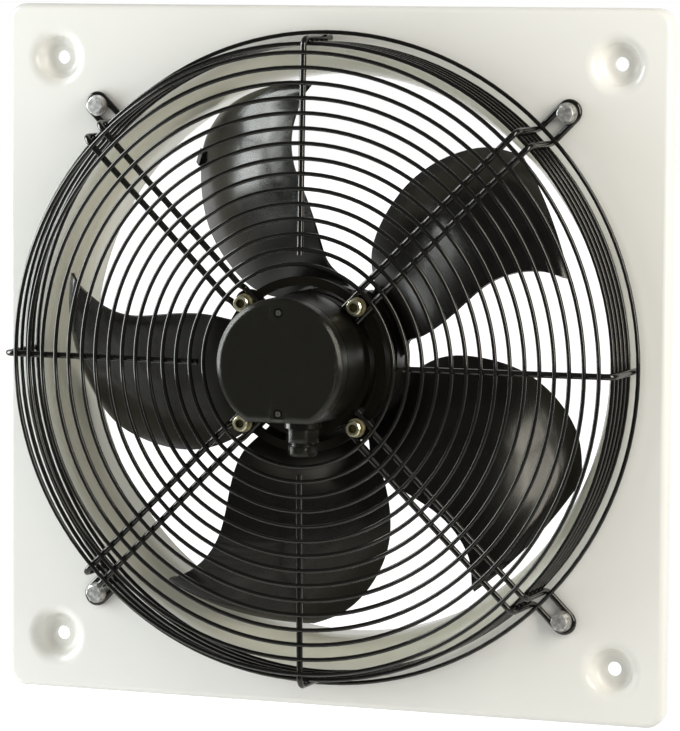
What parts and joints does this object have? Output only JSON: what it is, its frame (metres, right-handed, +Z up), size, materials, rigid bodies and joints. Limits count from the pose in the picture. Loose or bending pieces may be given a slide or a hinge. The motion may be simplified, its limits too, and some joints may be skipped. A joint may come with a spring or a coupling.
{
  "type": "axial wall fan",
  "caption": "Axial wall fan: square pressed plate with flared inlet and short duct, round wire guard carrying an external-rotor motor with sickle blades, and a round terminal box.",
  "frame": {"origin": "centre of the four wall fixing holes, in the wall plane", "axes": "+X right and +Z up as seen from the front, +Y along the fan axis towards the wall and the duct"},
  "size_m": [0.45, 0.1338, 0.45],
  "materials": {
    "plate_coat": "satin cream powder coat",
    "guard_coat": "semi-gloss black coat",
    "blade_coat": "satin black coat",
    "rotor_coat": "satin black coat",
    "bright_zinc": "bright zinc plate",
    "yellow_zinc": "yellow zinc plate",
    "flange_cast": "black coated casting",
    "core_sheet": "bare stacked sheet",
    "winding": "varnished copper wire",
    "bearing_steel": "ground steel",
    "black_steel": "blackened steel",
    "box_plastic": "smooth satin black",
    "gland_plastic": "black polyamide",
    "block_plastic": "pale terminal plastic",
    "capacitor_plastic": "dark case",
    "seal_rubber": "soft black rubber"
  },
  "bodies": {
    "frame": {"mounting_plate": "plate_coat", "guard_face_rings": "guard_coat", "guard_side_rings": "guard_coat", "guard_rear_ring": "guard_coat", "guard_legs": "guard_coat", "guard_spokes": "guard_coat", "guard_bolts": "bright_zinc", "guard_washers": "bright_zinc", "guard_nuts": "bright_zinc", "motor_screws": "yellow_zinc", "motor_washers": "bright_zinc", "stator_flange": "flange_cast", "stator_core": "core_sheet", "stator_winding": "winding", "bearing_outer_rings": "bearing_steel", "preload_washer": "bearing_steel", "terminal_box_body": "box_plastic", "terminal_box_gasket": "seal_rubber", "terminal_box_cover": "box_plastic", "cover_screws": "black_steel", "terminal_block": "block_plastic", "run_capacitor": "capacitor_plastic", "gland_body": "gland_plastic", "gland_nut": "gland_plastic", "gland_seal": "seal_rubber"},
    "impeller": {"rotor_can": "rotor_coat", "rotor_core": "core_sheet", "shaft": "bearing_steel", "shaft_circlip": "bearing_steel", "bearing_inner_rings": "bearing_steel", "blade_1": "blade_coat", "blade_2": "blade_coat", "blade_3": "blade_coat", "blade_4": "blade_coat", "blade_5": "blade_coat", "balance_clip": "bearing_steel"}
  },
  "joints": [
    {"name": "impeller_spin", "type": "hinge", "parent": "frame", "child": "impeller", "pos_m": [0, 0, 0], "axis": [0, 1, 0], "continuous": true}
  ]
}
